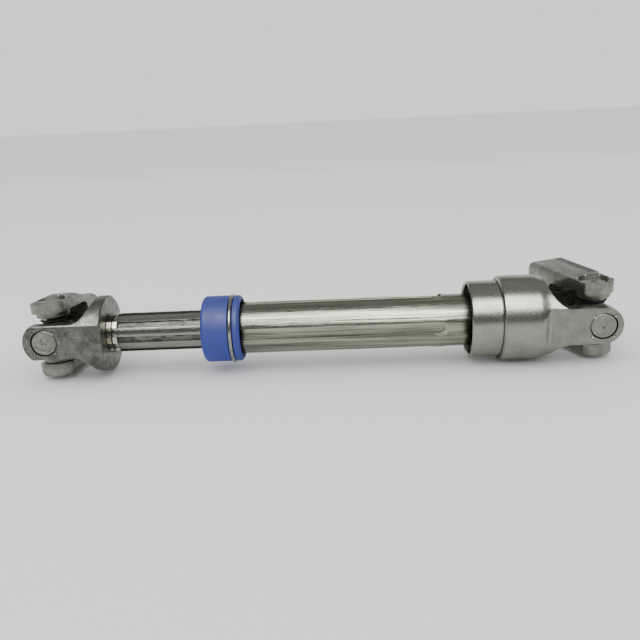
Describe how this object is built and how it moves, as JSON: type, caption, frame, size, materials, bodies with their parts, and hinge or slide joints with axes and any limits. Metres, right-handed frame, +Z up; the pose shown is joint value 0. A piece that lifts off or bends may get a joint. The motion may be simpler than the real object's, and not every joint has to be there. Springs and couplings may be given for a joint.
{
  "type": "universal joint shaft",
  "caption": "Telescopic steering shaft with a cross joint at each end, a grooved inner shaft sliding in a tube, a plastic dust cap and a rubber isolation coupling.",
  "frame": {"origin": "centre of the bounding box in plan, on the surface that the shaft lies on, with the joints folded as stored", "axes": "+X along the shaft, from the inner shaft's joint to the joint with the isolation coupling; +Y the way both end yokes point at rest; +Z up"},
  "size_m": [0.3442, 0.0774, 0.0501],
  "materials": {
    "plated_steel": "zinc-plated, drawn along its length",
    "forged_steel": "plated over a forged surface, machined at the bosses",
    "bearing_steel": "fine ground",
    "spring_steel": "drawn wire",
    "yellow_zinc": "yellow passivated",
    "blue_plastic": "moulded, faint turning marks",
    "black_rubber": "matt",
    "nylon": "moulded"
  },
  "bodies": {
    "tube_assembly": {"outer_tube": "plated_steel", "slide_sleeve": "nylon", "dust_cap": "blue_plastic", "cap_clamp_ring": "spring_steel", "cap_boot": "black_rubber", "shaft_wiper": "black_rubber", "coupling_bush": "black_rubber", "wind_up_plate": "forged_steel"},
    "sliding_shaft": {"inner_shaft": "plated_steel", "retaining_ring": "spring_steel", "stop_ring_outer": "yellow_zinc", "stop_ring_inner": "yellow_zinc", "lower_fork": "forged_steel", "lower_front_bearing_cup": "bearing_steel", "lower_front_seal": "black_rubber", "lower_front_rollers": "bearing_steel", "lower_back_bearing_cup": "bearing_steel", "lower_back_seal": "black_rubber", "lower_back_rollers": "bearing_steel"},
    "coupling": {"coupling_sleeve": "plated_steel", "wind_up_housing": "forged_steel", "upper_fork": "plated_steel", "upper_front_bearing_cup": "bearing_steel", "upper_front_seal": "black_rubber", "upper_front_rollers": "bearing_steel", "upper_back_bearing_cup": "bearing_steel", "upper_back_seal": "black_rubber", "upper_back_rollers": "bearing_steel"},
    "upper_spider": {"upper_cross": "forged_steel"},
    "upper_end_yoke": {"upper_yoke": "forged_steel", "upper_top_bearing_cup": "bearing_steel", "upper_top_seal": "black_rubber", "upper_top_rollers": "bearing_steel", "upper_bottom_bearing_cup": "bearing_steel", "upper_bottom_seal": "black_rubber", "upper_bottom_rollers": "bearing_steel"},
    "lower_spider": {"lower_cross": "forged_steel"},
    "lower_end_yoke": {"lower_yoke": "forged_steel", "lower_top_bearing_cup": "bearing_steel", "lower_top_seal": "black_rubber", "lower_top_rollers": "bearing_steel", "lower_bottom_bearing_cup": "bearing_steel", "lower_bottom_seal": "black_rubber", "lower_bottom_rollers": "bearing_steel"}
  },
  "joints": [
    {"name": "shaft_slide", "type": "slide", "parent": "tube_assembly", "child": "sliding_shaft", "axis": [1, 0, 0], "range_m": [-0.067, 0.047]},
    {"name": "coupling_wind_up", "type": "hinge", "parent": "tube_assembly", "child": "coupling", "pos_m": [0.11834, -0.01368, 0.02505], "axis": [1, 0, 0], "range_deg": [-5, 5], "stiffness_Nm_per_rad": 50},
    {"name": "upper_ear_hinge", "type": "hinge", "parent": "coupling", "child": "upper_spider", "pos_m": [0.16034, -0.01368, 0.02505], "axis": [0, 0.9981, 0.061], "range_deg": [-3.75, 8.25]},
    {"name": "upper_yoke_hinge", "type": "hinge", "parent": "upper_spider", "child": "upper_end_yoke", "pos_m": [0.16034, -0.01368, 0.02505], "axis": [-0.0393, -0.061, 0.9974], "range_deg": [-207, 0]},
    {"name": "lower_ear_hinge", "type": "hinge", "parent": "sliding_shaft", "child": "lower_spider", "pos_m": [-0.15966, -0.01368, 0.02505], "axis": [0, 0.9987, -0.0506], "range_deg": [-7, 13]},
    {"name": "lower_yoke_hinge", "type": "hinge", "parent": "lower_spider", "child": "lower_end_yoke", "pos_m": [-0.15966, -0.01368, 0.02505], "axis": [-0.0523, 0.0505, 0.9974], "range_deg": [-9, 189]}
  ]
}
